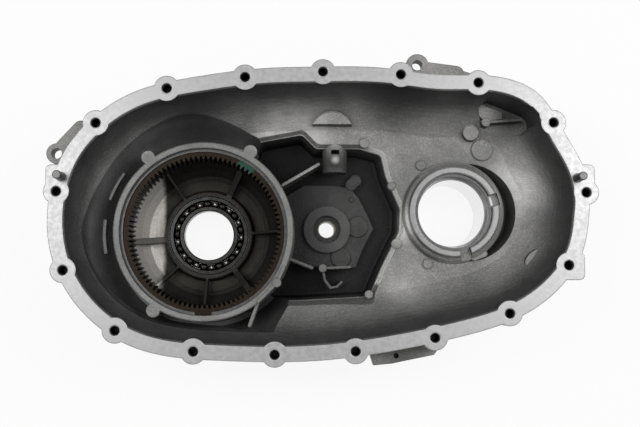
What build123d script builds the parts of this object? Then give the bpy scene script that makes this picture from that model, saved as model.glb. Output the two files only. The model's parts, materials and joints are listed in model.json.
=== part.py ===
from build123d import *
from build123d.topology import SkipClean
import os
from math import atan2, cos, degrees, hypot, radians, sin

os.makedirs("parts", exist_ok=True)

# Shaft places. The input axis is the origin and Z points out of the open side.
output_x = 242.0
output_y = 20.6
sector_x = 119.0
sector_y = 5.0

# Levels above the mount face that meets the transmission
case_depth = 130.0
flange_thickness = 14.0
tower_rim_level = 112.0
bowl_floor_level = 84.0
valley_floor_level = 58.0
pocket_floor_level = 46.0
output_lip_level = 95.0
wall = 6.5

# Parting flange: half its width, and the middle line that it follows
flange_half_width = 7.8
rim_line = [
    (356.5, 22), (349, 64), (334, 91), (314, 123), (280, 138.5), (222, 140.5), (175, 146),
    (105, 147), (61, 145.5), (-10, 136), (-60, 123), (-99.5, 97), (-121, 70), (-135, 15),
    (-130, -25), (-110.5, -62), (-61, -100), (-38, -107), (15, -112.5), (105, -113),
    (188, -102), (245, -89.8), (306.7, -66), (349, -18),
]
bolt_centres = [
    (-99.5, 100.1), (-33.9, 133.1), (39.3, 144.3), (112.6, 150.0), (186.4, 147.8), (260.1, 140.6),
    (331.2, 102.8), (361.3, 36.5), (343.4, -32.1), (287.1, -77.1), (216.9, -99.5), (142.9, -111.8),
    (67.9, -114.8), (-7.1, -111.7), (-79.0, -92.5), (-127.5, -37.1), (-135.0, 36.0),
]
bolt_tap_radius = 4.25
bolt_hole_depth = 25.0
bolt_chamfer = 0.8
bolt_boss_radius = 12.0
bolt_boss_height = 30.0

# Dowel pins in the flange
dowel_radius = 4.0
dowel_length = 36.0
dowel_stand = 20.0
dowel_chamfer = 0.8
dowel_neck_radius = 3.2
dowel_neck_width = 7.0
dowel_centres = {"dowel_pin_left": (-130.5, 49.5), "dowel_pin_right": (353.0, 50.0)}

# Planetary tower
tower_radius = 85.4
tower_foot_radius = 86.8
tower_waist_radius = 77.5
tower_waist_level = 44.0
ring_bore_radius = 79.4
ring_seat_level = 68.0
ring_seat_radius = 73.8
dish_wall = [(72.8, 58.0), (67.5, 42.0), (61.0, 33.0)]
dish_floor_level = 30.0
dish_foot_radius = 56.0
bearing_boss_radius = 44.6
bearing_boss_level = 41.0
mount_ring_radius = 80.0
mount_ring_height = 12.0
mount_bolt_circle = 84.0
mount_hole_radius = 5.3
mount_ear_radius = 11.0
mount_hole_count = 6
mount_start_angle = 6.0
front_recess_radius = 60.0
front_recess_depth = 21.0
front_boss_level = 18.0
front_boss_radius = 48.0
front_counterbore_radius = 44.0

# Ring gear: whole-depth internal teeth
gear_module = 1.5
gear_teeth = 95
gear_width = 36.0
gear_fit = 0.05
gear_ring_thickness = 2.0
gear_ring_width = 4.3
gear_groove_radius = 81.0
gear_ring_gap = 16.0

# Input bearing
bearing_bore_radius = 25.0
bearing_radius = 40.0
bearing_width = 16.0
bearing_level = 24.0
ball_radius = 4.365
ball_count = 13
ball_pitch_radius = 32.5
ball_play = 0.2
race_land = 2.8
bearing_ring_seat = 27.2
bearing_ring_thickness = 1.7
bearing_ring_bite = 1.6
bearing_ring_play = 0.6
bearing_ring_gap = 12.0
bearing_fit = 0.0
race_chamfer = 0.8
first_ball_angle = 11.0
cage_half_width = 1.6
cage_sheet = 0.9
rivet_radius = 0.9
rivet_length = 3.0
rivet_start_angle = first_ball_angle + 180 / ball_count

# Output bore
output_lip_radius = 43.8
output_bearing_radius = 37.5
output_shoulder_radius = 33.2
output_bearing_depth = 22.0
output_snout_radius = 45.0
output_snout_draft = 3.0
output_step_radius = 50.0
output_step_height = 5.5
output_seal_radius = 36.0
output_seal_depth = 14.0
output_bearing_width = 16.0
output_groove_radius = 39.4
output_ring_thickness = 1.9
output_ring_width = 4.2
output_ring_gap = 9.0
crescent_shift = 14.0
crescent_radius = 42.0
crescent_level = 66.0

# Sector-shaft bore
sector_hole_radius = 9.5
sector_bush_bore = 7.95
sector_recess_radius = 13.6
sector_boss_radius = 23.5
sector_boss_level = 62.0
sector_recess_depth = 6.0
sector_bush_length = 22.0
sector_outer_level = 30.0
sector_pad_level = 56.0
sector_pad_corners = [
    (70, 34), (96.4, 49.7), (126, 49.8), (143, 47), (152, 36), (160, 20), (166, 6), (155, -15),
    (148, -33), (112, -33), (84, -28), (70, -40),
]

# Valley and pocket outlines inside the bowl
valley_foot_radius = 92.0
valley_slope = 0.55
pocket_taper = 4.0
pocket_edge = 3.5
rim_edge = 3.0
pocket_corners = [
    (40, 62), (52, 90), (94, 98), (108, 84), (150, 84), (172, 78), (177, 56), (191, 24),
    (190, 2), (172, -34), (160, -62), (90, -66), (62, -66), (52, -40),
]
corner_corners = [(263, 122), (275, 132.5), (312, 117.5), (318, 111), (318, 102), (307, 93), (270, 102)]
on_foot = (Align.CENTER, Align.CENTER, Align.MIN)

# Flange pads as left, right, low and high sides
flange_pads = [(-145, -119, 37, 61), (343, 369.5, 38, 63), (334, 358.5, -46, -20)]

# Hanger lugs and lower pad: their tops lie a step below the parting face
lug_level = 110.0
lug_thickness = 15.0
lug_hole_radius = 4.9
lug_holes = [(-139.4, 73.8, 9.8), (204.6, 161.2, 11.0)]
lug_arms = [((-133.5, 80), (-117, 98), 15), ((210, 157), (242, 153), 16), ((242, 152), (255, 148), 12)]
lug_webs = [
    [(-134, 62), (-110, 99), (-98, 88), (-114, 54)],
    [(192, 148), (256, 144), (256, 131), (192, 134)],
    [(160, -107), (222, -97), (222, -92), (160, -103)],
]
lower_pad_corners = [
    (158, -104), (158, -116.5), (161.2, -126.3), (178.5, -124.7), (189.2, -122.4), (218.5, -116.6),
    (222, -112), (222, -94),
]
lower_pad_hole = (182.5, -117.2)
lower_pad_hole_radius = 2.4
lower_pad_hole_depth = 10.0

# Detent boss, lying along Y
detent_x = 126.4
detent_level = 72.0
detent_boss_radius = 12.0
detent_bore_radius = 5.4
detent_inner_y = 60.0
detent_outer_y = 121.0
detent_window_y = 80.0
detent_window_width = 8.0
detent_window_length = 4.0

# Gussets outside, round the tower and the output snout, as angle and reach
gusset_width = 6.0
tower_gussets = [(70, 106), (120, 108), (165, 112), (215, 108), (265, 100), (315, 104)]
tower_gusset_foot = 24.0
tower_gusset_top = 60.0
snout_gussets = [(33, 92), (-19, 92), (-77, 84), (94, 84)]
snout_gusset_foot = 36.0
snout_gusset_top = 78.0

# Ribs as start, end, width, and low and high levels
outside_ribs = [
    ((60, 30), (200, 36), 6, 24, 60),
    ((60, -14), (200, 6), 6, 24, 60),
]
inside_ribs = [
    ((69.5, -48.5), (52, -66), 3.2, 54, 113),
    ((69.5, -48.5), (76, -34), 3.2, 54, 113),
    ((75, 47.4), (110, 68), 3.0, 40, 82),
    ((80, -24), (104, -33.5), 3.0, 40, 74),
    ((114.5, -33.9), (141.3, -32.7), 2.6, 40, 72),
    ((52, -66), (43.8, -89), 3.2, 54, 106),
    ((272.8, 107.9), (308, 110.8), 2.6, 80, 99),
    ((262, -24), (272, -20), 6.0, 80, 88),
]
posts = [
    (114.5, -33.9, 4.0, 40, 74),
    (69.5, -48.5, 4.3, 54, 113.5),
    (272.8, 107.9, 4.4, 80, 100),
    (154.9, 89.0, 4.8, 80, 85.2),
    (144.1, 50.8, 6.0, 50, 57.2),
    (148.0, 54.5, 6.0, 40, 57.2),
    (144.0, 35.2, 2.5, 50, 57.0),
    (181.8, 46.7, 4.0, 80, 85.2),
    (186.3, -10.2, 5.0, 80, 85.2),
    (159.0, -59.6, 4.0, 80, 85.2),
    (210.5, 67.0, 4.9, 80, 86.2),
    (216.7, -29.8, 4.9, 80, 86.2),
    (150.1, 7.9, 10.5, 50, 57.6),
    (133.1, -22.9, 10.0, 50, 57.6),
    (271.2, 82.4, 10.5, 80, 86.0),
]
corner_block = [(265, 117), (268, 127), (290, 119), (290, 112), (273, 109)]
corner_block_level = 94.0
half_moon_middle = (123.0, 105.0)
half_moon_width = 39.0
half_moon_height = 13.5
half_moon_level = 96.5
wall_bumps = [(259.5, 98.8, 8.3, 8.3, 0, 91.5), (318.0, -24.0, 10.6, 5.6, 46, 96.5)]
bump_round = 1.5
valley_ridges = [(100.2, 143.8, 17.2), (99.4, 172.2, 19.5)]
valley_ridge_width = 3.0
valley_ridge_level = 75.0
hook_line = [(114.5, -33.9), (116.6, -45.2), (122.3, -53.1), (128.6, -52.1), (133.9, -46.8)]
hook_width = 2.4
hook_level = 70.0
rim_bump_angles = [60, 127, 238]
rim_bump_radius = 6.5
dish_ribs = [(3, 2.6), (63, 6.0), (124, 2.6), (186, 6.0), (226, 2.6), (268, 2.6), (307, 6.0)]
dish_rib_top = 61.0

# Output lip slots as angle, inner and outer radius, width and depth
lip_slots = [(16.5, 32.0, 46.0, 11.5, 9.0), (285.0, 35.0, 54.0, 11.0, 7.0)]


def rim_points(inset):
    """The flange's middle line, moved in towards the line that joins the input and output axes."""
    span = output_x**2 + output_y**2
    points = []
    for x, y in rim_line:
        along = min(max((x * output_x + y * output_y) / span, 0.0), 1.0)
        foot_x = along * output_x
        foot_y = along * output_y
        reach = hypot(x - foot_x, y - foot_y)
        keep = (reach - inset) / reach
        points.append((foot_x + (x - foot_x) * keep, foot_y + (y - foot_y) * keep))
    return points


def rim_face(level, inset):
    """A face inside the flange's middle line, at a level."""
    with BuildSketch(Plane.XY.offset(level)) as face:
        with BuildLine():
            Spline(*rim_points(inset), periodic=True)
        make_face()
    return face.sketch.face()


def rounded_face(level, corners, radius, grow):
    """A face with straight sides and rounded corners, at a level, grown or shrunk all round."""
    with BuildSketch(Plane.XY.offset(level)) as face:
        with BuildLine():
            Polyline(*corners, close=True)
        make_face()
        if grow:
            offset(amount=grow, kind=Kind.INTERSECTION)
        fillet(face.vertices(), radius)
    return face.sketch.face()


def bar_place(start, end):
    """Halfway along a bar, turned to lie along it."""
    turn = degrees(atan2(end[1] - start[1], end[0] - start[0]))
    return Location(((start[0] + end[0]) / 2, (start[1] + end[1]) / 2, 0), (0, 0, turn))


def bar_length(start, end):
    """The distance between a bar's two centres."""
    return hypot(end[0] - start[0], end[1] - start[1])


def upright_plane(x, y, angle):
    """A plane that holds the Z direction: its own X runs outward at an angle from a shaft's axis."""
    turn = radians(angle)
    return Plane(origin=(x, y, 0), x_dir=(cos(turn), sin(turn), 0), z_dir=(sin(turn), -cos(turn), 0))


# Bowl: the inside falls from the flange to the floor, and the skin follows it a wall outside
bowl_levels = [
    (case_depth, flange_half_width),
    (112.0, 12.0),
    (97.0, 24.0),
    (bowl_floor_level, 46.0),
]
skin_top = case_depth - flange_thickness + 2.0
skin_levels = [(skin_top, flange_half_width - wall + 1.0)]
skin_levels += [(level - wall, inset - wall) for level, inset in bowl_levels[1:]]

with BuildPart() as bowl_void:
    loft([rim_face(level, inset) for level, inset in bowl_levels])

with BuildPart() as rim_chamfer:
    loft([rim_face(case_depth, flange_half_width - rim_edge / 2),
          rim_face(case_depth - rim_edge, flange_half_width + rim_edge / 2)], ruled=True)

with BuildPart() as bowl_skin:
    loft([rim_face(level, inset) for level, inset in skin_levels])

# Valley round the tower: deeper than the bowl, bounded by a cone and by the flange's own line
valley_levels = [(104.0, 18.5), (valley_floor_level, 22.0)]
valley_rise = valley_levels[0][0] - valley_floor_level

with BuildPart() as valley_void:
    loft([rim_face(level, inset) for level, inset in valley_levels], ruled=True)
    with Locations((0, 0, valley_floor_level)):
        Cone(valley_foot_radius, valley_foot_radius + valley_slope * valley_rise, valley_rise,
             align=on_foot, mode=Mode.INTERSECT)

with BuildPart() as valley_skin:
    loft([rim_face(level - wall, inset - wall) for level, inset in valley_levels], ruled=True)
    with Locations((0, 0, valley_floor_level - wall)):
        Cone(valley_foot_radius + wall, valley_foot_radius + wall + valley_slope * valley_rise,
             valley_rise, align=on_foot, mode=Mode.INTERSECT)

# Pocket round the sector shaft, with drafted sides
with BuildPart() as pocket_void:
    loft([rounded_face(bowl_floor_level + 4.0, pocket_corners, 6.0, 0.0),
          rounded_face(pocket_floor_level, pocket_corners, 6.0, -pocket_taper)], ruled=True)
    fillet(pocket_void.faces().sort_by(Axis.Z)[0].edges(), 3.0)

with BuildPart() as pocket_rim:
    loft([rounded_face(bowl_floor_level + pocket_edge, pocket_corners, 9.0, 2 * pocket_edge),
          rounded_face(bowl_floor_level - pocket_edge, pocket_corners, 6.0, 0.0)], ruled=True)

with BuildPart() as pocket_skin:
    loft([rounded_face(bowl_floor_level - wall, pocket_corners, 6.0, wall),
          rounded_face(pocket_floor_level - wall, pocket_corners, 6.0, wall - pocket_taper)],
         ruled=True)

# Square corner in the flange beside the output bore
with BuildPart() as corner_void:
    loft([rounded_face(case_depth, corner_corners, 4.0, 0.0),
          rounded_face(bowl_floor_level, corner_corners, 4.0, -2.0)], ruled=True)

with BuildPart() as corner_skin:
    loft([rounded_face(skin_top, corner_corners, 4.0, wall),
          rounded_face(bowl_floor_level - wall, corner_corners, 4.0, wall - 2.0)], ruled=True)

# Planetary tower, turned about the input axis
with BuildPart() as tower_body:
    with BuildSketch(Plane.XZ):
        with BuildLine():
            Polyline((0, 0), (mount_ring_radius, 0), (mount_ring_radius, mount_ring_height),
                     (tower_waist_radius, mount_ring_height + 3),
                     (tower_waist_radius, tower_waist_level),
                     (tower_foot_radius, valley_floor_level), (tower_radius, tower_rim_level - 1),
                     (tower_radius - 1, tower_rim_level), (0, tower_rim_level), close=True)
        make_face()
    revolve(axis=Axis.Z)

with BuildPart() as tower_void:
    with BuildSketch(Plane.XZ):
        with BuildLine():
            Polyline((0, tower_rim_level + 1), (ring_bore_radius + 1, tower_rim_level + 1),
                     (ring_bore_radius, tower_rim_level - 1), (ring_bore_radius, ring_seat_level),
                     (ring_seat_radius, ring_seat_level), *dish_wall,
                     (dish_foot_radius, dish_floor_level),
                     (bearing_boss_radius + 2, dish_floor_level),
                     (bearing_boss_radius, dish_floor_level + 3),
                     (bearing_boss_radius, bearing_boss_level - 1),
                     (bearing_boss_radius - 1, bearing_boss_level),
                     (bearing_radius + 0.8, bearing_boss_level),
                     (bearing_radius, bearing_boss_level - 0.8),
                     (bearing_radius, bearing_ring_seat), (front_counterbore_radius, bearing_ring_seat),
                     (front_counterbore_radius, -1), (0, -1), close=True)
        make_face()
        with BuildLine():
            Polyline((0, -1), (front_recess_radius, -1), (front_recess_radius, front_recess_depth - 3),
                     (front_recess_radius - 3, front_recess_depth),
                     (front_boss_radius + 2, front_recess_depth),
                     (front_boss_radius, front_recess_depth - 2), (front_boss_radius, front_boss_level),
                     (0, front_boss_level), close=True)
        make_face()
    revolve(axis=Axis.Z)
    groove_centre = ring_seat_level + gear_width + gear_ring_thickness / 2
    with Locations((0, 0, groove_centre)):
        Cylinder(gear_groove_radius, gear_ring_thickness + 0.1)

# Output bore's boss inside and snout outside, and the deeper crescent on its far side
with BuildPart() as output_body:
    with BuildSketch(Plane.XZ):
        with BuildLine():
            Polyline((0, 0), (output_snout_radius - 2, 0), (output_snout_radius, 2),
                     (output_snout_radius + output_snout_draft, bowl_floor_level - wall),
                     (output_step_radius, bowl_floor_level - wall),
                     (output_step_radius, bowl_floor_level + 2),
                     (output_step_radius - 2, bowl_floor_level + output_step_height),
                     (output_lip_radius + 1, output_lip_level - 4),
                     (output_lip_radius, output_lip_level - 0.6),
                     (output_lip_radius - 0.6, output_lip_level), (0, output_lip_level), close=True)
        make_face()
    revolve(axis=Axis.Z)

output_seat_level = output_lip_level - output_bearing_depth
output_ring_level = output_seat_level + output_bearing_width
with BuildPart() as output_void:
    with BuildSketch(Plane.XZ):
        with BuildLine():
            Polyline((0, -1), (output_seal_radius, -1), (output_seal_radius, output_seal_depth),
                     (output_shoulder_radius, output_seal_depth), (output_shoulder_radius, output_seat_level),
                     (output_bearing_radius, output_seat_level), (output_bearing_radius, output_ring_level),
                     (output_groove_radius, output_ring_level),
                     (output_groove_radius, output_ring_level + output_ring_thickness + 0.1),
                     (output_bearing_radius, output_ring_level + output_ring_thickness + 0.1),
                     (output_bearing_radius, output_lip_level - 1),
                     (output_bearing_radius + 2, output_lip_level + 1), (0, output_lip_level + 1),
                     close=True)
        make_face()
    revolve(axis=Axis.Z)

crescent_x = output_x + crescent_shift
crescent_rise = bowl_floor_level + 4 - crescent_level
with BuildPart() as crescent_void:
    with Locations((crescent_x, output_y, crescent_level)):
        Cone(crescent_radius, crescent_radius + crescent_rise / 3, crescent_rise, align=on_foot)
    fillet(crescent_void.faces().sort_by(Axis.Z)[0].edges(), 5.0)

with BuildPart() as crescent_skin:
    with Locations((crescent_x, output_y, crescent_level - wall)):
        Cone(crescent_radius + wall, crescent_radius + wall + crescent_rise / 3, crescent_rise,
             align=on_foot)

# Flange plate with the square pads beside the dowels
with BuildPart() as flange_plate:
    with BuildSketch(Plane.XY.offset(case_depth)):
        with BuildLine():
            Spline(*rim_points(-flange_half_width), periodic=True)
        make_face()
        for left, right, low, high in flange_pads:
            with Locations(((left + right) / 2, (low + high) / 2)):
                RectangleRounded(right - left, high - low, 5)
    extrude(amount=-flange_thickness)

# Outside features: hanger lugs and the lower pad a step below the parting face, detent boss, ribs
with BuildPart() as outside_features:
    with BuildSketch(Plane.XY.offset(lug_level)):
        with BuildLine():
            Polyline(*lower_pad_corners, close=True)
        make_face()
        for x, y, radius in lug_holes:
            with Locations((x, y)):
                Circle(radius)
        for start, end, width in lug_arms:
            with Locations(bar_place(start, end)):
                SlotCenterToCenter(bar_length(start, end), width)
    extrude(amount=-lug_thickness)
    for corners in lug_webs:
        with BuildSketch(Plane.XY.offset(case_depth - flange_thickness + 1)):
            with BuildLine():
                Polyline(*corners, close=True)
            make_face()
        extrude(amount=-lug_thickness - 7)
    with Locations(Location((detent_x, detent_outer_y, detent_level), (90, 0, 0))):
        Cylinder(detent_boss_radius, detent_outer_y - pocket_corners[3][1], align=on_foot)
    for start, end, width, low, high in outside_ribs:
        with BuildSketch(Plane.XY.offset(low)):
            with Locations(bar_place(start, end)):
                SlotCenterToCenter(bar_length(start, end), width)
        extrude(amount=high - low)

# Gussets between the front side's round bosses and the skins
with BuildPart() as gussets:
    for angle, reach in tower_gussets:
        with BuildSketch(upright_plane(0, 0, angle)):
            with BuildLine():
                Polyline((tower_waist_radius - 2, tower_gusset_foot), (reach, tower_gusset_top),
                         (tower_waist_radius - 2, tower_gusset_top), close=True)
            make_face()
        extrude(amount=gusset_width / 2, both=True)
    for angle, reach in snout_gussets:
        with BuildSketch(upright_plane(output_x, output_y, angle)):
            with BuildLine():
                Polyline((output_snout_radius - 1, snout_gusset_foot), (reach, snout_gusset_top),
                         (reach, snout_gusset_top + 3), (output_snout_radius - 1, snout_gusset_top + 3),
                         close=True)
            make_face()
        extrude(amount=gusset_width / 2, both=True)

# Everything inside the hollow that stands on its floor
with BuildPart() as inside_features:
    with BuildSketch(Plane.XY.offset(valley_floor_level - wall)):
        for angle in rim_bump_angles:
            with PolarLocations(tower_radius + 2.5, 1, start_angle=angle):
                Circle(rim_bump_radius)
    extrude(amount=tower_rim_level - valley_floor_level + wall)
    with BuildSketch():
        with PolarLocations(mount_bolt_circle, mount_hole_count, start_angle=mount_start_angle):
            Circle(mount_ear_radius)
    extrude(amount=mount_ring_height)
    with BuildSketch(Plane.XY.offset(case_depth)):
        with Locations(*bolt_centres):
            Circle(bolt_boss_radius)
    extrude(amount=-bolt_boss_height)
    with BuildSketch(Plane.XY.offset(pocket_floor_level - wall)):
        with BuildLine():
            Polyline(*sector_pad_corners, close=True)
        make_face()
    extrude(amount=sector_pad_level - pocket_floor_level + wall)
    with Locations((sector_x, sector_y, sector_outer_level)):
        Cylinder(sector_boss_radius, sector_boss_level - sector_outer_level, align=on_foot)
    with Locations(Location((detent_x, detent_outer_y, detent_level), (90, 0, 0))):
        Cylinder(detent_boss_radius, detent_outer_y - detent_inner_y, align=on_foot)
    for start, end, width, low, high in inside_ribs:
        with BuildSketch(Plane.XY.offset(low)):
            with Locations(bar_place(start, end)):
                SlotCenterToCenter(bar_length(start, end), width)
        extrude(amount=high - low)
    for x, y, radius, low, high in posts:
        with Locations((x, y, low)):
            Cylinder(radius, high - low, align=on_foot)
    with BuildSketch(Plane.XY.offset(bowl_floor_level - 2)):
        with BuildLine():
            Polyline(*corner_block, close=True)
        make_face()
    extrude(amount=corner_block_level - bowl_floor_level + 2)
    with BuildSketch(Plane.XY.offset(valley_floor_level - 2)):
        for radius, start, sweep_angle in valley_ridges:
            with BuildLine():
                CenterArc((0, 0), radius, start, sweep_angle)
            trace(line_width=valley_ridge_width)
    extrude(amount=valley_ridge_level - valley_floor_level + 2)
    with BuildSketch(Plane.XY.offset(pocket_floor_level - 1)):
        with BuildLine():
            Polyline(*hook_line)
        trace(line_width=hook_width)
    extrude(amount=hook_level - pocket_floor_level + 1)

# Raised places on the bowl's wall: a half moon with a flat side, and two low bumps
with BuildPart() as half_moon:
    left = (half_moon_middle[0] - half_moon_width / 2, half_moon_middle[1])
    right = (half_moon_middle[0] + half_moon_width / 2, half_moon_middle[1])
    with BuildSketch(Plane.XY.offset(bowl_floor_level - 2)):
        with BuildLine():
            ThreePointArc(left, (half_moon_middle[0], half_moon_middle[1] + half_moon_height), right)
            Line(right, left)
        make_face()
    extrude(amount=half_moon_level - bowl_floor_level + 2)
    fillet(half_moon.faces().sort_by(Axis.Z)[-1].edges(), bump_round)

bumps = []
for x, y, half_length, half_width, turn, level in wall_bumps:
    with BuildPart() as bump:
        with BuildSketch(Plane.XY.offset(bowl_floor_level - 2)):
            with Locations(Location((x, y, 0), (0, 0, turn))):
                Ellipse(half_length, half_width)
        extrude(amount=level - bowl_floor_level + 2)
        fillet(bump.faces().sort_by(Axis.Z)[-1].edges(), bump_round)
    bumps.append(bump.part)

# Ribs in the dish slope down from the tower wall to the bearing boss
with BuildPart() as dish_rib_set:
    for angle, width in dish_ribs:
        with BuildSketch(upright_plane(0, 0, angle)):
            with BuildLine():
                Polyline((bearing_boss_radius - 1, dish_floor_level - 1),
                         (ring_seat_radius, dish_floor_level - 1), (ring_seat_radius, dish_rib_top),
                         (bearing_boss_radius + 1, bearing_boss_level),
                         (bearing_boss_radius - 1, bearing_boss_level), close=True)
            make_face()
        extrude(amount=width / 2, both=True)

# Drilled, tapped and cut places
with BuildPart() as cuts:
    with Locations((sector_x, sector_y, sector_outer_level - 1)):
        Cylinder(sector_hole_radius, sector_boss_level, align=on_foot)
    with Locations((sector_x, sector_y, sector_boss_level - sector_recess_depth)):
        Cylinder(sector_recess_radius, sector_boss_level, align=on_foot)
    with Locations(Location((detent_x, detent_outer_y + 1, detent_level), (90, 0, 0))):
        Cylinder(detent_bore_radius, detent_outer_y - detent_inner_y + 2, align=on_foot)
    with Locations((detent_x, detent_window_y, detent_level)):
        Box(detent_window_width, detent_window_length, detent_boss_radius + 2, align=on_foot)
    with Locations(*[(x, y, case_depth - bolt_hole_depth) for x, y in bolt_centres]):
        Cylinder(bolt_tap_radius, bolt_hole_depth + 1, align=on_foot)
    with Locations(*[(x, y, case_depth - bolt_chamfer) for x, y in bolt_centres]):
        Cone(bolt_tap_radius, bolt_tap_radius + 2 * bolt_chamfer, 2 * bolt_chamfer, align=on_foot)
    dowel_foot = case_depth + dowel_stand - dowel_length
    with Locations(*[(x, y, dowel_foot) for x, y in dowel_centres.values()]):
        Cylinder(dowel_radius, dowel_length, align=on_foot)
    with Locations((0, 0, -1)):
        with PolarLocations(mount_bolt_circle, mount_hole_count, start_angle=mount_start_angle):
            Cylinder(mount_hole_radius, mount_ring_height + 2, align=on_foot)
    with Locations(*[(x, y, lug_level - lug_thickness - 1) for x, y, radius in lug_holes]):
        Cylinder(lug_hole_radius, lug_thickness + 2, align=on_foot)
    with Locations((*lower_pad_hole, lug_level - lower_pad_hole_depth)):
        Cylinder(lower_pad_hole_radius, lower_pad_hole_depth + 1, align=on_foot)
    for angle, inner, outer, width, depth in lip_slots:
        with Locations((output_x, output_y, output_lip_level)):
            with PolarLocations((inner + outer) / 2, 1, start_angle=angle):
                Box(outer - inner, width, 2 * depth)

# The casting, joined without merging faces, which is slow on its curved skins
with SkipClean(), BuildPart() as case_half:
    for skin in (bowl_skin, valley_skin, pocket_skin, corner_skin, crescent_skin, flange_plate,
                 outside_features, gussets):
        add(skin.part, clean=False)
    for hollow in (bowl_void, rim_chamfer, valley_void, pocket_void, pocket_rim, corner_void,
                   crescent_void):
        add(hollow.part, mode=Mode.SUBTRACT, clean=False)
    add(tower_body.part, clean=False)
    add(inside_features.part, clean=False)
    add(half_moon.part, clean=False)
    for bump in bumps:
        add(bump, clean=False)
    with Locations((output_x, output_y, 0)):
        add(output_body.part, clean=False)
    add(tower_void.part, mode=Mode.SUBTRACT, clean=False)
    with Locations((output_x, output_y, 0)):
        add(output_void.part, mode=Mode.SUBTRACT, clean=False)
    add(dish_rib_set.part, clean=False)
    add(cuts.part, mode=Mode.SUBTRACT, clean=False)

case_half.part.label = "case_half"
export_step(case_half.part, "parts/case_half.step")

# Ring gear: internal teeth, straight sided between the root and tip circles
gear_pitch_radius = gear_module * gear_teeth / 2
gear_root_radius = gear_pitch_radius + 1.25 * gear_module
gear_tip_radius = gear_pitch_radius - gear_module
tooth_step = 360 / gear_teeth
with BuildPart() as ring_gear:
    with BuildSketch(Plane.XY.offset(ring_seat_level)):
        Circle(ring_bore_radius - gear_fit)
        with BuildLine():
            outline = []
            for tooth in range(gear_teeth):
                middle = tooth * tooth_step
                for radius, share in ((gear_root_radius, -0.35), (gear_tip_radius, -0.14),
                                      (gear_tip_radius, 0.14), (gear_root_radius, 0.35)):
                    turn = radians(middle + share * tooth_step)
                    outline.append((radius * cos(turn), radius * sin(turn)))
            Polyline(*outline, close=True)
        make_face(mode=Mode.SUBTRACT)
    extrude(amount=gear_width)
ring_gear.part.label = "ring_gear"
export_step(ring_gear.part, "parts/ring_gear.step")

# Snap ring that holds the ring gear down, open at the bottom
gear_ring_level = ring_seat_level + gear_width
with BuildPart() as ring_gear_snap_ring:
    with BuildSketch(Plane.XY.offset(gear_ring_level)):
        Circle(gear_groove_radius - gear_fit)
        Circle(gear_groove_radius - gear_ring_width, mode=Mode.SUBTRACT)
        with Locations((0, -gear_groove_radius)):
            Rectangle(gear_ring_gap, 4 * gear_ring_width, mode=Mode.SUBTRACT)
    extrude(amount=gear_ring_thickness)
ring_gear_snap_ring.part.label = "ring_gear_snap_ring"
export_step(ring_gear_snap_ring.part, "parts/ring_gear_snap_ring.step")

# Input bearing: two races with a ball groove each
bearing_middle = bearing_level + bearing_width / 2
groove_radius = ball_radius + ball_play
race_rings = {
    "input_bearing_outer_race": (ball_pitch_radius + race_land, bearing_radius - bearing_fit),
    "input_bearing_inner_race": (bearing_bore_radius, ball_pitch_radius - race_land),
}
for name, (inner, outer) in race_rings.items():
    with BuildPart() as race:
        with BuildSketch(Plane.XZ):
            with Locations(((inner + outer) / 2, bearing_middle)):
                Rectangle(outer - inner, bearing_width)
            chamfer(vertices(), race_chamfer)
            with Locations((ball_pitch_radius, bearing_middle)):
                Circle(groove_radius, mode=Mode.SUBTRACT)
            with Locations((bearing_radius, bearing_ring_seat - bearing_ring_thickness / 2)):
                Rectangle(2 * bearing_ring_bite, bearing_ring_thickness + 0.1, mode=Mode.SUBTRACT)
        revolve(axis=Axis.Z)
    race.part.label = name
    export_step(race.part, f"parts/{name}.step")

# Snap ring round the outer race, which stops the bearing against the casting
with BuildPart() as input_bearing_snap_ring:
    with BuildSketch(Plane.XY.offset(bearing_ring_seat - bearing_ring_thickness)):
        Circle(front_counterbore_radius - bearing_ring_play)
        Circle(bearing_radius - bearing_ring_bite + 0.05, mode=Mode.SUBTRACT)
        with Locations((0, -bearing_radius)):
            Rectangle(bearing_ring_gap, bearing_radius / 2, mode=Mode.SUBTRACT)
    extrude(amount=bearing_ring_thickness)
input_bearing_snap_ring.part.label = "input_bearing_snap_ring"
export_step(input_bearing_snap_ring.part, "parts/input_bearing_snap_ring.step")

# Balls, evenly spaced, the first at the angle that the photograph shows
for index in range(ball_count):
    turn = radians(first_ball_angle + index * 360 / ball_count)
    name = f"input_bearing_ball_{index + 1:02d}"
    with BuildPart() as ball:
        with Locations((ball_pitch_radius * cos(turn), ball_pitch_radius * sin(turn), bearing_middle)):
            Sphere(ball_radius)
    ball.part.label = name
    export_step(ball.part, f"parts/{name}.step")

# Cage: two pressed halves, thin between the balls and cupped round them
for name, side in (("input_bearing_cage_rear", 1), ("input_bearing_cage_front", -1)):
    with BuildPart() as cage:
        with Locations((0, 0, bearing_middle)):
            with PolarLocations(ball_pitch_radius, ball_count, start_angle=first_ball_angle):
                Sphere(groove_radius + cage_sheet)
        with BuildSketch(Plane.XY.offset(bearing_middle)):
            Circle(ball_pitch_radius + cage_half_width)
            Circle(ball_pitch_radius - cage_half_width, mode=Mode.SUBTRACT)
        extrude(amount=side * (groove_radius + cage_sheet), mode=Mode.INTERSECT)
        with BuildSketch(Plane.XY.offset(bearing_middle)):
            Circle(ball_pitch_radius + cage_half_width)
            Circle(ball_pitch_radius - cage_half_width, mode=Mode.SUBTRACT)
        extrude(amount=side * cage_sheet)
        with Locations((0, 0, bearing_middle)):
            with PolarLocations(ball_pitch_radius, ball_count, start_angle=first_ball_angle):
                Sphere(groove_radius, mode=Mode.SUBTRACT)
        with BuildSketch(Plane.XY.offset(bearing_middle)):
            with PolarLocations(ball_pitch_radius, ball_count, start_angle=rivet_start_angle):
                Circle(rivet_radius)
        extrude(amount=side * cage_sheet, mode=Mode.SUBTRACT)
    cage.part.label = name
    export_step(cage.part, f"parts/{name}.step")

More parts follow.
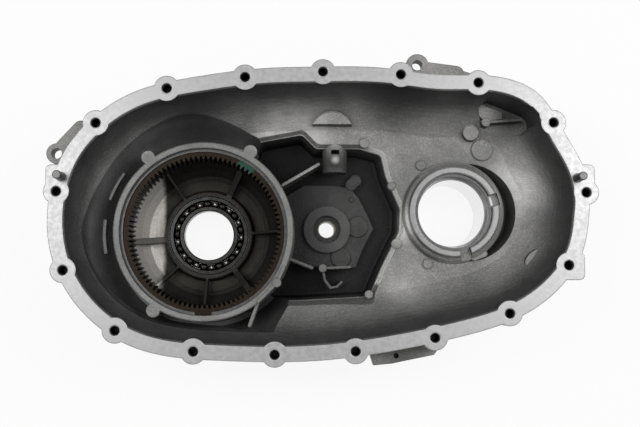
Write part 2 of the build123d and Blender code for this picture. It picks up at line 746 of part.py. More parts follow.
# Rivets through both cage halves, midway between the balls
with BuildPart() as input_bearing_cage_rivets:
    with BuildSketch(Plane.XY.offset(bearing_middle - rivet_length / 2)):
        with PolarLocations(ball_pitch_radius, ball_count, start_angle=rivet_start_angle):
            Circle(rivet_radius)
    extrude(amount=rivet_length)
input_bearing_cage_rivets.part.label = "input_bearing_cage_rivets"
export_step(input_bearing_cage_rivets.part, "parts/input_bearing_cage_rivets.step")

# Snap ring in the output bore, its ends at the slot through the lip
with BuildPart() as output_bearing_snap_ring:
    with BuildSketch(Plane.XY.offset(output_ring_level)):
        with Locations((output_x, output_y)):
            Circle(output_groove_radius - gear_fit)
            Circle(output_groove_radius - output_ring_width, mode=Mode.SUBTRACT)
            with PolarLocations(output_groove_radius, 1, start_angle=lip_slots[0][0]):
                Rectangle(4 * output_ring_width, output_ring_gap, mode=Mode.SUBTRACT)
    extrude(amount=output_ring_thickness)
output_bearing_snap_ring.part.label = "output_bearing_snap_ring"
export_step(output_bearing_snap_ring.part, "parts/output_bearing_snap_ring.step")

# Plain bushing of the sector shaft
with BuildPart() as sector_shaft_bushing:
    bush_top = sector_boss_level - sector_recess_depth
    with BuildSketch(Plane.XY.offset(bush_top - sector_bush_length)):
        with Locations((sector_x, sector_y)):
            Circle(sector_hole_radius)
            Circle(sector_bush_bore, mode=Mode.SUBTRACT)
    extrude(amount=sector_bush_length)
    chamfer(sector_shaft_bushing.edges().group_by(Axis.Z)[-1], 0.4)
sector_shaft_bushing.part.label = "sector_shaft_bushing"
export_step(sector_shaft_bushing.part, "parts/sector_shaft_bushing.step")

# Dowel pins, chamfered at both ends, with a neck at the parting face
for name, (x, y) in dowel_centres.items():
    with BuildPart() as dowel:
        with Locations((x, y, dowel_foot)):
            Cylinder(dowel_radius, dowel_length, align=on_foot)
        chamfer(dowel.edges().filter_by(GeomType.CIRCLE), dowel_chamfer)
        with BuildSketch(Plane.XY.offset(case_depth)):
            with Locations((x, y)):
                Circle(dowel_radius)
                Circle(dowel_neck_radius, mode=Mode.SUBTRACT)
        extrude(amount=dowel_neck_width, mode=Mode.SUBTRACT)
    dowel.part.label = name
    export_step(dowel.part, f"parts/{name}.step")
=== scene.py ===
import json
from math import cos, pi, sin

import bpy
from mathutils import Matrix, Vector


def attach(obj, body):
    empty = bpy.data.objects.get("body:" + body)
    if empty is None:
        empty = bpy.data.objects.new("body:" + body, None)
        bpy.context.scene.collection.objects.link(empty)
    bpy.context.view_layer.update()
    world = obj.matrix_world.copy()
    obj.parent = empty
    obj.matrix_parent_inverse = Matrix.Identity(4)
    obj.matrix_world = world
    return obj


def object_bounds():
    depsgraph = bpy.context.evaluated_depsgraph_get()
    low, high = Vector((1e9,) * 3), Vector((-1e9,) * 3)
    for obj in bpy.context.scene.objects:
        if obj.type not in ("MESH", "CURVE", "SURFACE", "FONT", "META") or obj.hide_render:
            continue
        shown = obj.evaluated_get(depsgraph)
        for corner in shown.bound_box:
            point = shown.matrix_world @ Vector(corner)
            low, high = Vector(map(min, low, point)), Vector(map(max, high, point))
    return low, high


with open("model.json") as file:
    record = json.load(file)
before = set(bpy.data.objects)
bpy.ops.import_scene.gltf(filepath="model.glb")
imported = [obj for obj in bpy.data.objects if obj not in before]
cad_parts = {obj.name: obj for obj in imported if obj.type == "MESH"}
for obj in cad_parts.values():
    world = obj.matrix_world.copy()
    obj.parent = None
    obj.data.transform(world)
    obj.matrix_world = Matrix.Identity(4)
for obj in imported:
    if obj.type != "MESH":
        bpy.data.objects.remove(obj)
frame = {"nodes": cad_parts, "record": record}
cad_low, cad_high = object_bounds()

MM = 0.001
INPUT_AXIS = (0.0, 0.0)
OUTPUT_AXIS = (242.0, 20.6)

# Places on the casting, in millimetres. Each pair says where a finish, painted light or painted shade ends
# and where it is full.
FLANGE_TOP = (129.8, 129.9)
LIP_TOP = (94.6, 94.8)
LIP_REACH = (44.1, 44.0)
OUTPUT_BORE_REACH = (39.9, 39.8)
SHAFT_BORE_REACH = (33.5, 33.3)
SHAFT_BORE_TOP = (72.8, 72.6)
TOWER_BORE_REACH = (80.0, 79.9)
TOWER_BORE_FOOT = (67.5, 67.7)
BEARING_BORE_REACH = (40.5, 40.4)
WALL_DEPTH = (0.0, 20.0)
WALL_FOOT = (52.0, 75.0)
VALLEY_REACH = (128.0, 110.0)
VALLEY_TOP = (100.0, 90.0)
VALLEY_SIDE = (60.0, 30.0)
WINDOW_FOOT = (70.0, 78.0)
POCKET_TOP = (86.0, 56.0)
POCKET_FLOOR = (50.5, 50.0)
POCKET_SIDE = (40.0, 50.0)
POCKET_REACH = (86.0, 87.5)
BESIDE_TOWER = (140.0, 85.0)
OUTSIDE_DEPTH = (-25.0, -35.0)
BOWL_REACH = (89.0, 88.5)
BOWL_FOOT = (56.5, 57.5)
UNDERSIDE_TOP = (46.0, 40.0)
UNDERSIDE_REACH = (75.0, 76.0)
SNOUT_OUTER_REACH = (50.6, 50.4)
SNOUT_INNER_REACH = (41.5, 42.0)
SNOUT_TOP = (78.0, 77.5)
# The next six bound a painted highlight along the pocket's edge
POCKET_GLINT_START = (150.0, 168.0)
POCKET_GLINT_END = (200.0, 197.0)
POCKET_GLINT_REACH = (49.0, 51.0)
POCKET_GLINT_FOOT = (77.0, 79.5)
POCKET_GLINT_TOP = (84.7, 84.2)
POCKET_GLINT_HALF_WIDTH = (71.0, 67.0)
# The dish's painted shade, with a painted lit patch and painted shade over its rib
DISH_REACH = (74.2, 73.8)
DISH_TOP = (64.0, 62.0)
DISH_LIT_SIDE = (-38.5, -44.0)
DISH_RIB_HALF_WIDTH = (3.4, 3.0)
TOWER_RIM_FOOT = (111.6, 111.8)
TOWER_RIM_REACH = (92.0, 90.0)

# How far a surface faces up, from 1 for level to -1 for upside down, as the same kind of pairs
LEVEL_FACE = (0.98, 0.995)
WALL_SLOPE = (0.985, 0.55)
FACING_UP = (-0.1, 0.1)
FACING_DOWN = (-0.1, -0.2)
OUTSIDE_SLOPE = (0.90, 0.80)
EDGE_SLOPE = (0.96, 0.90)

# The middle of the bowl and of the pocket across the case, and the dish rib's slant
BOWL_MIDDLE_Y = 10.0
POCKET_MIDDLE_Y = 19.0
DISH_RIB_SLANT = 0.105
# How ragged the painted shadow edge of the dish's lit patch is
DISH_SHADOW_EDGE_RAGGEDNESS = 8.0

# Soft patches on the casting as x, y, radius and strength: painted light, and painted shade
LIT_PATCHES = [
    (88, 98, 52, 0.70), (192, 8, 26, 0.9), (308, 48, 46, 0.80), (196, -52, 40, 0.35),
    (60, 100, 26, 0.4),
]
SHADE_PATCHES = [
    (184, 128, 46, 0.75), (126, 68, 27, 0.97), (296, 112, 30, 0.8), (190, -118, 30, 0.6),
    (-10, 110, 50, 0.6),
]
# A painted glint under the detent boss's window, as x, y, radius and strength
WINDOW_GLINT = (126.4, 72.5, 6.0, 1.0)

# How much of each darker coat covers the metal under it: painted shade on the walls, the valley, the pocket
# and the dish rib, and an uneven tone on the tower rim
WALL_SHADE_SHARE = 0.85
VALLEY_SHADE_SHARE = 0.7
POCKET_SHADE_SHARE = 0.985
DISH_RIB_SHADE_SHARE = 0.85
TOWER_RIM_TONE_SHARE = 0.75

# Noises on the casting as scale, detail and roughness
GRAIN = (900.0, 4.0, 0.65)
SAND = (520.0, 2.0, 0.5)
SCRAPES = (240.0, 2.0, 0.5)
FLOW = (34.0, 5.0, 0.6)
CLOUDS = (9.0, 3.0, 0.5)

# Strength and height of the relief, and the radius that edges seem to have, on casting and on steel
SKIN_RELIEF = 0.45
MACHINED_RELIEF = 0.03
RELIEF_HEIGHT = 0.6
COARSE_SHARE = 2.0
CASTING_EDGE = 1.6
CASTING_SPECULAR = 0.12
STEEL_EDGE = 0.2
STEEL_RELIEF = 0.1
STEEL_RELIEF_HEIGHT = 0.2
EDGE_SAMPLES = 6

# Dab of marking paint on the ring gear's top face
DAB_CENTRE = (40.5, 63.5)
DAB_REACH = (11.5, 10.0)
DAB_LEVEL = (99.0, 101.0)
DAB_RAGGEDNESS = 4.0
DAB_NOISE = (300.0, 3.0, 0.55)

# Tapped flange holes
BOLT_CENTRES = [
    (-99.5, 100.1), (-33.9, 133.1), (39.3, 144.3), (112.6, 150.0), (186.4, 147.8), (260.1, 140.6),
    (331.2, 102.8), (361.3, 36.5), (343.4, -32.1), (287.1, -77.1), (216.9, -99.5), (142.9, -111.8),
    (67.9, -114.8), (-7.1, -111.7), (-79.0, -92.5), (-127.5, -37.1), (-135.0, 36.0),
]
TAP_RADIUS = 4.25
THREAD_DEPTH = 0.55
THREAD_HALF_WIDTH = 0.6
THREAD_PITCH = 1.5
THREAD_TURNS = 14
THREAD_SEGMENTS = 28
THREAD_START = 128.6

# A near-black ring between the races of the input bearing, as painted shade in the gap
GAP_SHADE_INNER = 29.8
GAP_SHADE_OUTER = 35.2
GAP_SHADE_FRONT = 25.2
GAP_SHADE_BACK = 26.4
GAP_SHADE_SEGMENTS = 96

# Studio, in metres and watts. Each lamp has a name, a place, a width, a height and a power.
LAMP_TARGET = (0.11, 0.02, 0.08)
LAMPS = [
    ("right_light", (0.82, 0.24, 1.28), 0.45, 0.8, 8.6),
    ("left_light", (-0.58, 0.22, 1.33), 0.40, 0.8, 7.6),
]
WORLD_LIGHT = 0.38
BACKDROP_WHITE = 1.0
FLOOR_SIZE = 14.0
FLOOR_MIDDLE = (0.11, 0.02)
FLOOR_GAP = 0.0002
FLOOR_TINT = 0.85
FLOOR_WHITE_SHARE = 0.9

# Camera, looking down into the open side
CAMERA_LENS = 57.46
CAMERA_SENSOR = 36.0
CAMERA_PLACE = Vector((0.077376, -0.055322, 1.080))
CAMERA_RIGHT = Vector((0.999417, 0.0, 0.034148))
CAMERA_UP = Vector((-0.002550, 0.997207, 0.074637))
CAMERA_BACK = Vector((-0.034052, -0.074681, 0.996626))


def rgb(red, green, blue):
    return (red, green, blue, 1.0)


def grey(level):
    return rgb(level, level, level)


class Graph:
    """A material's node tree, with short calls for the nodes that repeat."""

    def __init__(self, name):
        self.material = bpy.data.materials.new(name)
        self.material.use_nodes = True
        self.nodes = self.material.node_tree.nodes
        self.links = self.material.node_tree.links
        self.nodes.clear()
        self.shader = self.nodes.new("ShaderNodeBsdfPrincipled")
        out = self.nodes.new("ShaderNodeOutputMaterial")
        self.links.new(self.shader.outputs["BSDF"], out.inputs["Surface"])
        self.place = self.nodes.new("ShaderNodeTexCoord").outputs["Object"]
        parts = self.nodes.new("ShaderNodeSeparateXYZ")
        self.links.new(self.place, parts.inputs[0])
        self.x, self.y, self.z = parts.outputs

    def feed(self, socket, value):
        """Links another node's output, or sets a plain number or colour."""
        if hasattr(value, "is_linked"):
            self.links.new(value, socket)
        else:
            socket.default_value = value

    def set(self, **values):
        """Feeds the shader's sockets by name."""
        for key, value in values.items():
            self.feed(self.shader.inputs[key.replace("_", " ")], value)

    def math(self, operation, a, b=0.0):
        node = self.nodes.new("ShaderNodeMath")
        node.operation = operation
        self.feed(node.inputs[0], a)
        self.feed(node.inputs[1], b)
        return node.outputs[0]

    def fold(self, operation, first, *others):
        for other in others:
            first = self.math(operation, first, other)
        return first

    def product(self, *factors):
        return self.fold("MULTIPLY", *factors)

    def largest(self, *values):
        return self.fold("MAXIMUM", *values)

    def length(self, dx, dy):
        square = self.math("ADD", self.product(dx, dx), self.product(dy, dy))
        return self.math("SQRT", square)

    def reach(self, centre):
        """Distance from an upright axis."""
        dx = self.math("SUBTRACT", self.x, centre[0] * MM)
        dy = self.math("SUBTRACT", self.y, centre[1] * MM)
        return self.length(dx, dy)

    def ramp(self, value, low, high, start=0.0, end=1.0):
        """Runs smoothly from start to end as value goes from low to high."""
        node = self.nodes.new("ShaderNodeMapRange")
        node.interpolation_type = "SMOOTHSTEP"
        self.feed(node.inputs["Value"], value)
        for key, number in (("From Min", low), ("From Max", high), ("To Min", start), ("To Max", end)):
            node.inputs[key].default_value = number
        return node.outputs["Result"]

    def slope(self, value, ends):
        """0 at the first of two slopes and 1 at the second."""
        return self.ramp(value, *ends)

    def zone(self, value, ends):
        """0 at the first of two places and 1 at the second, both in millimetres."""
        none, full = ends
        return self.ramp(value, none * MM, full * MM)

    def patch(self, x, y, radius, strength):
        """A soft round patch, strongest in its middle."""
        return self.ramp(self.reach((x, y)), 0.0, radius * MM, strength, 0.0)

    def noise(self, scale, detail, roughness):
        node = self.nodes.new("ShaderNodeTexNoise")
        self.links.new(self.place, node.inputs["Vector"])
        node.inputs["Scale"].default_value = scale
        node.inputs["Detail"].default_value = detail
        node.inputs["Roughness"].default_value = roughness
        return node.outputs["Fac"]

    def blend(self, factor, a, b, kind="FLOAT"):
        """One number or colour where factor is 0, and the other where it is 1."""
        node = self.nodes.new("ShaderNodeMix")
        node.data_type = kind
        self.feed(node.inputs["Factor"], factor)
        self.feed(node.inputs["A"], a)
        self.feed(node.inputs["B"], b)
        return node.outputs["Result"]

    def mix(self, factor, a, b):
        return self.blend(factor, a, b, "RGBA")

    def coat(self, tint, colour, *factors):
        """Lays a colour over a tint where all the factors are 1."""
        return self.mix(self.product(*factors), tint, colour)

    def bump(self, height, strength, distance, edge):
        """Relief on a surface whose edges look rounded by the radius edge."""
        bevel = self.nodes.new("ShaderNodeBevel")
        bevel.samples = EDGE_SAMPLES
        bevel.inputs["Radius"].default_value = edge * MM
        node = self.nodes.new("ShaderNodeBump")
        node.inputs["Distance"].default_value = distance * MM
        self.feed(node.inputs["Strength"], strength)
        self.feed(node.inputs["Height"], height)
        self.links.new(bevel.outputs["Normal"], node.inputs["Normal"])
        return node.outputs["Normal"]


class Casting(Graph):
    """Cast aluminium with machined faces, and a skin with painted light, painted shade, a painted highlight
    and an uneven darker tone in places.
    """

    def __init__(self):
        super().__init__("cast_aluminium")
        normal = self.nodes.new("ShaderNodeSeparateXYZ")
        geometry = self.nodes.new("ShaderNodeNewGeometry")
        self.links.new(geometry.outputs["True Normal"], normal.inputs[0])
        self.across, self.along, self.up = normal.outputs
        self.from_input = self.reach(INPUT_AXIS)
        self.from_output = self.reach(OUTPUT_AXIS)
        self.inward = self.facing_inward()
        self.lip = self.product(self.zone(self.z, LIP_TOP), self.zone(self.from_output, LIP_REACH))
        self.tower_bore = self.product(self.zone(self.from_input, TOWER_BORE_REACH),
                                       self.zone(self.z, TOWER_BORE_FOOT))
        self.shaft_bore = self.product(self.zone(self.from_output, SHAFT_BORE_REACH),
                                       self.zone(self.z, SHAFT_BORE_TOP))
        self.machined = self.machined_faces()
        self.grain = self.noise(*GRAIN)
        self.sand = self.noise(*SAND)
        self.flow = self.noise(*FLOW)
        self.scrape = self.noise(*SCRAPES)

    def facing_inward(self):
        """How far a surface stands from the line between the shafts, times how it faces that line."""
        past_input = self.math("MAXIMUM", self.x, INPUT_AXIS[0] * MM)
        line_x = self.math("MINIMUM", past_input, OUTPUT_AXIS[0] * MM)
        to_line_x = self.math("SUBTRACT", line_x, self.x)
        to_line_y = self.math("SUBTRACT", BOWL_MIDDLE_Y * MM, self.y)
        return self.math("ADD", self.product(self.across, to_line_x), self.product(self.along, to_line_y))

    def distance_across(self, middle):
        """Distance along y from a middle line, whose y is a number or another node's output."""
        return self.math("ABSOLUTE", self.math("SUBTRACT", self.y, middle))

    def machined_faces(self):
        """1 on machined faces and in bores, told apart by where they are."""
        flange = self.product(self.zone(self.z, FLANGE_TOP), self.slope(self.up, LEVEL_FACE))
        return self.largest(flange, self.lip, self.tower_bore,
                            self.zone(self.from_output, OUTPUT_BORE_REACH),
                            self.zone(self.from_input, BEARING_BORE_REACH))

    def machined_tint(self):
        """Scraped metal, duller on the lip and in the tower, and bright in the output shaft's bore."""
        tint = self.mix(self.scrape, grey(0.225), grey(0.315))
        dull = self.mix(self.scrape, grey(0.10), grey(0.24))
        tint = self.coat(tint, dull, self.largest(self.lip, self.tower_bore))
        return self.coat(tint, grey(0.90), self.shaft_bore)

    def plain_skin(self):
        """Grey casting with pale sandy specks and dark clouds."""
        tint = self.mix(self.flow, rgb(0.085, 0.085, 0.084), rgb(0.27, 0.266, 0.26))
        specks = self.ramp(self.sand, 0.45, 0.75, 0.0, 0.4)
        tint = self.coat(tint, rgb(0.36, 0.355, 0.345), specks)
        clouds = self.ramp(self.noise(*CLOUDS), 0.40, 0.65, 0.0, 0.5)
        return self.coat(tint, grey(0.09), clouds)

    def painted_light_patches(self, tint):
        """Painted light: brighter, uneven patches of pale metal."""
        uneven = self.ramp(self.flow, 0.30, 0.62, 0.45, 1.0)
        for spot in LIT_PATCHES:
            tint = self.coat(tint, rgb(0.50, 0.495, 0.485), uneven, self.patch(*spot))
        return tint

    def painted_wall_shade(self, tint):
        """Painted shade darkens the steep inner walls, which face the line between the two shafts."""
        coat_tint = self.mix(self.flow, grey(0.018), grey(0.075))
        return self.coat(tint, coat_tint, self.zone(self.inward, WALL_DEPTH), self.slope(self.up, WALL_SLOPE),
                         self.zone(self.z, WALL_FOOT), WALL_SHADE_SHARE)

    def painted_valley_shade(self, tint):
        """Lighter painted shade lies in the valley round the tower."""
        coat_tint = self.mix(self.flow, grey(0.05), grey(0.30))
        return self.coat(tint, coat_tint, self.zone(self.from_input, VALLEY_REACH), self.zone(self.z, VALLEY_TOP),
                         self.zone(self.x, VALLEY_SIDE), VALLEY_SHADE_SHARE)

    def painted_shade_patches(self, tint):
        """Painted shade darkens the metal in soft patches."""
        for spot in SHADE_PATCHES:
            tint = self.coat(tint, grey(0.020), self.patch(*spot))
        return tint

    def painted_window_glint(self, tint):
        """A painted glint lies under the detent boss's window."""
        return self.coat(tint, rgb(0.30, 0.30, 0.295), self.patch(*WINDOW_GLINT),
                         self.zone(self.z, WINDOW_FOOT))

    def painted_pocket_shade(self, tint):
        """Painted shade darkens the deep pocket, most of all beside the tower and on its floor."""
        beside_tower = self.zone(self.x, BESIDE_TOWER)
        pocket_tone = self.mix(self.flow, grey(0.012), rgb(0.070, 0.070, 0.069))
        shallow = self.coat(pocket_tone, rgb(0.015, 0.015, 0.016), beside_tower)
        deep = self.mix(beside_tower, grey(0.016), grey(0.002))
        coat_tint = self.coat(shallow, deep, self.zone(self.z, POCKET_FLOOR))
        return self.coat(tint, coat_tint, self.zone(self.z, POCKET_TOP), self.slope(self.up, FACING_UP),
                         self.zone(self.x, POCKET_SIDE), self.zone(self.from_input, POCKET_REACH),
                         POCKET_SHADE_SHARE)

    def clean_outside(self, tint):
        """The outside is plain, clean casting."""
        in_bowl = self.product(self.zone(self.from_input, BOWL_REACH), self.zone(self.z, BOWL_FOOT))
        walls = self.product(self.zone(self.inward, OUTSIDE_DEPTH), self.slope(self.up, OUTSIDE_SLOPE),
                             self.math("SUBTRACT", 1.0, in_bowl))
        foot = self.product(self.zone(self.z, UNDERSIDE_TOP), self.zone(self.from_input, UNDERSIDE_REACH))
        snout = self.product(self.zone(self.from_output, SNOUT_OUTER_REACH),
                             self.zone(self.from_output, SNOUT_INNER_REACH),
                             self.zone(self.z, SNOUT_TOP))
        outside = self.largest(walls, foot, snout, self.slope(self.up, FACING_DOWN))
        clean = self.mix(self.flow, rgb(0.26, 0.26, 0.255), rgb(0.44, 0.435, 0.425))
        return self.coat(tint, clean, outside)

    def painted_pocket_edge_highlight(self, tint):
        """A painted highlight lies along the pocket's edge on the side away from the tower."""
        beside_pocket = self.zone(self.distance_across(POCKET_MIDDLE_Y * MM), POCKET_GLINT_HALF_WIDTH)
        return self.coat(tint, rgb(0.50, 0.50, 0.49), self.zone(self.x, POCKET_GLINT_START),
                         self.zone(self.x, POCKET_GLINT_END), self.zone(self.from_output, POCKET_GLINT_REACH),
                         self.zone(self.z, POCKET_GLINT_FOOT), self.zone(self.z, POCKET_GLINT_TOP),
                         self.slope(self.up, EDGE_SLOPE), beside_pocket)

    def painted_dish_light_and_shade(self, tint):
        """The dish under the ring gear is darkened with painted shade, with a painted lit patch on one side
        whose ragged edge is a painted shadow edge, and painted shade over the rib in that patch.
        """
        # The dark tone here is painted shade.
        oily = self.mix(self.flow, rgb(0.008, 0.007, 0.006), rgb(0.055, 0.050, 0.043))
        lit_patch = self.mix(self.sand, rgb(0.40, 0.38, 0.36), rgb(0.74, 0.71, 0.67))
        rib_middle = self.product(self.x, DISH_RIB_SLANT)
        rib = self.zone(self.distance_across(rib_middle), DISH_RIB_HALF_WIDTH)
        lit_patch = self.coat(lit_patch, oily, rib, DISH_RIB_SHADE_SHARE)
        # The lit patch ends in a ragged painted shadow edge.
        ragged = self.math("ADD", self.x, self.product(self.flow, DISH_SHADOW_EDGE_RAGGEDNESS * MM))
        floor = self.coat(oily, lit_patch, self.zone(ragged, DISH_LIT_SIDE))
        return self.coat(tint, floor, self.zone(self.from_input, DISH_REACH), self.zone(self.z, DISH_TOP))

    def toned_tower_rim(self, tint):
        """An uneven, darker tone lies on the tower's rim."""
        coat_tint = self.mix(self.flow, grey(0.05), rgb(0.25, 0.25, 0.245))
        return self.coat(tint, coat_tint, self.zone(self.z, TOWER_RIM_FOOT),
                         self.zone(self.from_input, TOWER_RIM_REACH), TOWER_RIM_TONE_SHARE)

    def skin_tint(self):
        """The coats of the cast skin, painted light and painted shade among them, each laid over the ones
        before it.
        """
        tint = self.plain_skin()
        for finish in (self.painted_light_patches, self.painted_wall_shade, self.painted_valley_shade, self.painted_shade_patches,
                       self.painted_window_glint, self.painted_pocket_shade, self.clean_outside,
                       self.painted_pocket_edge_highlight, self.painted_dish_light_and_shade, self.toned_tower_rim):
            tint = finish(tint)
        return tint

    def roughness(self):
        """Rough skin, smoother machined faces, and a bright output shaft's bore."""
        skin = self.ramp(self.grain, 0.3, 0.7, 0.44, 0.60)
        machined = self.ramp(self.scrape, 0.3, 0.7, 0.36, 0.46)
        return self.blend(self.shaft_bore, self.blend(self.machined, skin, machined), 0.12)

    def relief(self):
        """Sandy relief on the skin, and nearly none on machined faces."""
        coarse = self.product(self.math("ADD", self.flow, self.sand), COARSE_SHARE)
        height = self.math("ADD", self.grain, coarse)
        strength = self.blend(self.machined, SKIN_RELIEF, MACHINED_RELIEF)
        return self.bump(height, strength, RELIEF_HEIGHT, CASTING_EDGE)


def cast_aluminium():
    g = Casting()
    g.set(
        Base_Color=g.mix(g.machined, g.skin_tint(), g.machined_tint()),
        Metallic=g.blend(g.machined, 0.5, 0.85),
        Roughness=g.roughness(),
        Normal=g.relief(),
        Specular_IOR_Level=CASTING_SPECULAR,
    )
    return g.material


def steel_graph(name, dark, light, smooth, rough, scale):
    """Steel, or the near-black ring of painted shade, whose tint and roughness vary together in fine
    streaks.
    """
    g = Graph(name)
    streak = g.noise(scale, 3.0, 0.6)
    g.set(
        Base_Color=g.mix(streak, dark, light),
        Metallic=1.0,
        Roughness=g.ramp(streak, 0.3, 0.7, smooth, rough),
        Normal=g.bump(streak, STEEL_RELIEF, STEEL_RELIEF_HEIGHT, STEEL_EDGE),
    )
    return g


def steel(*finish):
    return steel_graph(*finish).material


def gear_steel():
    """Dark oily steel with a dab of green marking paint on the top face."""
    g = steel_graph("gear_steel", rgb(0.003, 0.0023, 0.0016), rgb(0.027, 0.0215, 0.0168), 0.34, 0.5, 260.0)
    ragged = g.product(g.noise(*DAB_NOISE), DAB_RAGGEDNESS * MM)
    edge = g.math("ADD", g.reach(DAB_CENTRE), ragged)
    paint = g.product(g.zone(edge, DAB_REACH), g.zone(g.z, DAB_LEVEL))
    colour = g.shader.inputs["Base Color"].links[0].from_socket
    g.set(
        Base_Color=g.mix(paint, colour, rgb(0.002, 0.030, 0.017)),
        Metallic=g.blend(paint, 1.0, 0.6),
    )
    return g.material


# The races are tinted near black as painted shade: the dark reflection of the case's inside is painted into
# their colour.
def bearing_steel():
    return steel("bearing_steel", rgb(0.014, 0.014, 0.013), rgb(0.045, 0.045, 0.044), 0.18, 0.3, 150.0)


def cage_steel():
    return steel("cage_steel", rgb(0.010, 0.009, 0.008), rgb(0.04, 0.036, 0.032), 0.3, 0.45, 400.0)


def spring_steel():
    return steel("spring_steel", rgb(0.030, 0.029, 0.028), grey(0.10), 0.3, 0.45, 300.0)


def bushing_bronze():
    return steel("bushing_bronze", rgb(0.05, 0.045, 0.038), rgb(0.15, 0.14, 0.12), 0.25, 0.4, 300.0)


def ball_steel():
    return steel("ball_steel", grey(0.40), grey(0.55), 0.04, 0.08, 150.0)


def pin_steel():
    return steel("pin_steel", rgb(0.022, 0.022, 0.021), rgb(0.15, 0.15, 0.147), 0.30, 0.50, 380.0)


# A near-black tint for the bearing's painted shade ring
def gap_shade_black():
    return steel("gap_shade_black", rgb(0.004, 0.0035, 0.003), rgb(0.014, 0.012, 0.010), 0.3, 0.5, 300.0)


# Each piece takes its slot's material, apart from those whose names start as in own_materials
slot_materials = {
    "cast_aluminium": cast_aluminium(),
    "gear_steel": gear_steel(),
    "bearing_steel": bearing_steel(),
    "cage_steel": cage_steel(),
    "spring_steel": spring_steel(),
    "bushing_bronze": bushing_bronze(),
}
polished = ball_steel()
dull_pin = pin_steel()
own_materials = {
    "input_bearing_ball": polished,
    "input_bearing_cage_rivets": polished,
    "dowel_pin": dull_pin,
}
slots = {part["node"]: part["material_slot"] for part in frame["record"]["subparts"]}
for node, piece in frame["nodes"].items():
    material = slot_materials[slots[node]]
    for start, own_material in own_materials.items():
        if node.startswith(start):
            material = own_material
    piece.data.materials.clear()
    piece.data.materials.append(material)


def mesh_piece(name, points, faces, material, body):
    mesh = bpy.data.meshes.new(name)
    mesh.from_pydata(points, [], faces)
    mesh.update()
    for face in mesh.polygons:
        face.use_smooth = True
    mesh.materials.append(material)
    piece = bpy.data.objects.new(name, mesh)
    bpy.context.scene.collection.objects.link(piece)
    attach(piece, body)
    return piece


def point_round(centre, radius, angle, level):
    """A point at an angle and level round an upright axis, turned from millimetres to metres."""
    return Vector((centre[0] + radius * cos(angle), centre[1] + radius * sin(angle), level)) * MM


def helical_ridge(centre, points, faces):
    """One tapped hole's thread: a V ridge that winds down the wall."""
    first = len(points)
    steps = THREAD_TURNS * THREAD_SEGMENTS
    ridge = [(TAP_RADIUS, THREAD_HALF_WIDTH), (TAP_RADIUS - THREAD_DEPTH, 0.0),
             (TAP_RADIUS, -THREAD_HALF_WIDTH)]
    for step in range(steps + 1):
        angle = 2 * pi * step / THREAD_SEGMENTS
        level = THREAD_START - THREAD_PITCH * step / THREAD_SEGMENTS
        for radius, rise in ridge:
            points.append(point_round(centre, radius, angle, level + rise))
    for step in range(steps):
        here = first + len(ridge) * step
        after = here + len(ridge)
        for side in range(len(ridge) - 1):
            faces.append((here + side, after + side, after + side + 1, here + side + 1))


def threads():
    points, faces = [], []
    for centre in BOLT_CENTRES:
        helical_ridge(centre, points, faces)
    piece = mesh_piece("flange_threads", points, faces, dull_pin, "housing")


def gap_shade_ring():
    """A flat near-black ring that fills the gap between the races in front of the balls, as painted shade.
    """
    points, faces = [], []
    section = [(GAP_SHADE_INNER, GAP_SHADE_FRONT), (GAP_SHADE_OUTER, GAP_SHADE_FRONT),
               (GAP_SHADE_OUTER, GAP_SHADE_BACK), (GAP_SHADE_INNER, GAP_SHADE_BACK)]
    corners = len(section)
    for step in range(GAP_SHADE_SEGMENTS):
        angle = 2 * pi * step / GAP_SHADE_SEGMENTS
        for radius, level in section:
            points.append(point_round(INPUT_AXIS, radius, angle, level))
    for step in range(GAP_SHADE_SEGMENTS):
        here = corners * step
        after = corners * ((step + 1) % GAP_SHADE_SEGMENTS)
        for side in range(corners):
            other = (side + 1) % corners
            faces.append((here + side, after + side, after + other, here + other))
    mesh_piece("input_bearing_gap_shade", points, faces, gap_shade_black(), "ball_cage")


def soft_light(name, place, width, height, watts):
    data = bpy.data.lights.new(name, "AREA")
    data.shape = "RECTANGLE"
    data.size = width
    data.size_y = height
    data.energy = watts
    lamp = bpy.data.objects.new(name, data)
    lamp.location = place
    lamp.rotation_euler = (Vector(LAMP_TARGET) - Vector(place)).to_track_quat("-Z", "Y").to_euler()
    bpy.context.scene.collection.objects.link(lamp)


def seen_directly(tree):
    """1 for rays that show a surface as itself: from the camera, a gloss or a clear piece."""
    path = tree.nodes.new("ShaderNodeLightPath")
    total = path.outputs["Is Camera Ray"]
    for name in ("Is Glossy Ray", "Is Transmission Ray"):
        node = tree.nodes.new("ShaderNodeMath")
        node.operation = "MAXIMUM"
        tree.links.new(total, node.inputs[0])
        tree.links.new(path.outputs[name], node.inputs[1])
        total = node.outputs[0]
    return total


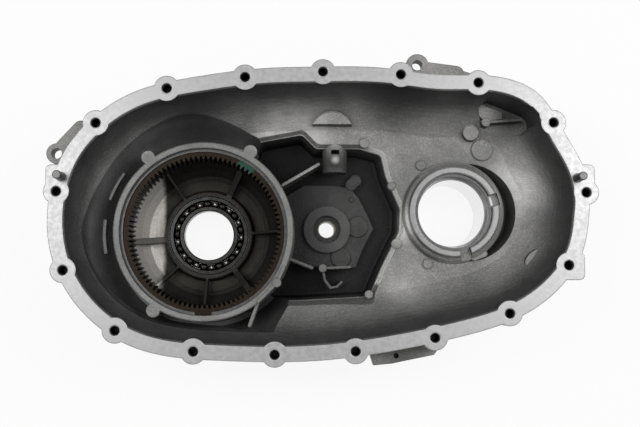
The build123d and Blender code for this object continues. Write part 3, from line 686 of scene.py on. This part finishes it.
def studio_world():
    """White where it is seen, and dimmer as a light on the part."""
    world = bpy.data.worlds.new("studio")
    bpy.context.scene.world = world
    world.use_nodes = True
    tree = world.node_tree
    shade = tree.nodes["Background"]
    mix = tree.nodes.new("ShaderNodeMix")
    tree.links.new(seen_directly(tree), mix.inputs["Factor"])
    mix.inputs["A"].default_value = WORLD_LIGHT
    mix.inputs["B"].default_value = BACKDROP_WHITE
    tree.links.new(mix.outputs["Result"], shade.inputs["Strength"])
    shade.inputs["Color"].default_value = grey(1.0)


def floor_material():
    """Pale and matt, and nearly white where it is seen, so that a faint shadow stays."""
    material = bpy.data.materials.new("floor")
    material.use_nodes = True
    tree = material.node_tree
    tree.nodes.clear()
    matte = tree.nodes.new("ShaderNodeBsdfDiffuse")
    matte.inputs["Color"].default_value = grey(FLOOR_TINT)
    glow = tree.nodes.new("ShaderNodeEmission")
    glow.inputs["Strength"].default_value = 1.0
    share = tree.nodes.new("ShaderNodeMath")
    share.operation = "MULTIPLY"
    share.inputs[1].default_value = FLOOR_WHITE_SHARE
    tree.links.new(seen_directly(tree), share.inputs[0])
    mix = tree.nodes.new("ShaderNodeMixShader")
    tree.links.new(share.outputs[0], mix.inputs[0])
    tree.links.new(matte.outputs[0], mix.inputs[1])
    tree.links.new(glow.outputs[0], mix.inputs[2])
    out = tree.nodes.new("ShaderNodeOutputMaterial")
    tree.links.new(mix.outputs[0], out.inputs["Surface"])
    return material


def pale_floor():
    bpy.ops.mesh.primitive_plane_add(size=FLOOR_SIZE, location=(*FLOOR_MIDDLE, cad_low.z - FLOOR_GAP))
    floor = bpy.context.object
    floor.name = "floor"
    floor.data.materials.append(floor_material())


def studio_camera():
    data = bpy.data.cameras.new("camera")
    data.sensor_width = CAMERA_SENSOR
    data.lens = CAMERA_LENS
    camera = bpy.data.objects.new("camera", data)
    bpy.context.scene.collection.objects.link(camera)
    turn = Matrix((CAMERA_RIGHT, CAMERA_UP, CAMERA_BACK)).transposed()
    camera.matrix_world = Matrix.Translation(CAMERA_PLACE) @ turn.to_4x4()
    bpy.context.scene.camera = camera


threads()
gap_shade_ring()
for lamp in LAMPS:
    soft_light(*lamp)
studio_world()
pale_floor()
studio_camera()
bpy.context.scene.view_settings.view_transform = "Standard"
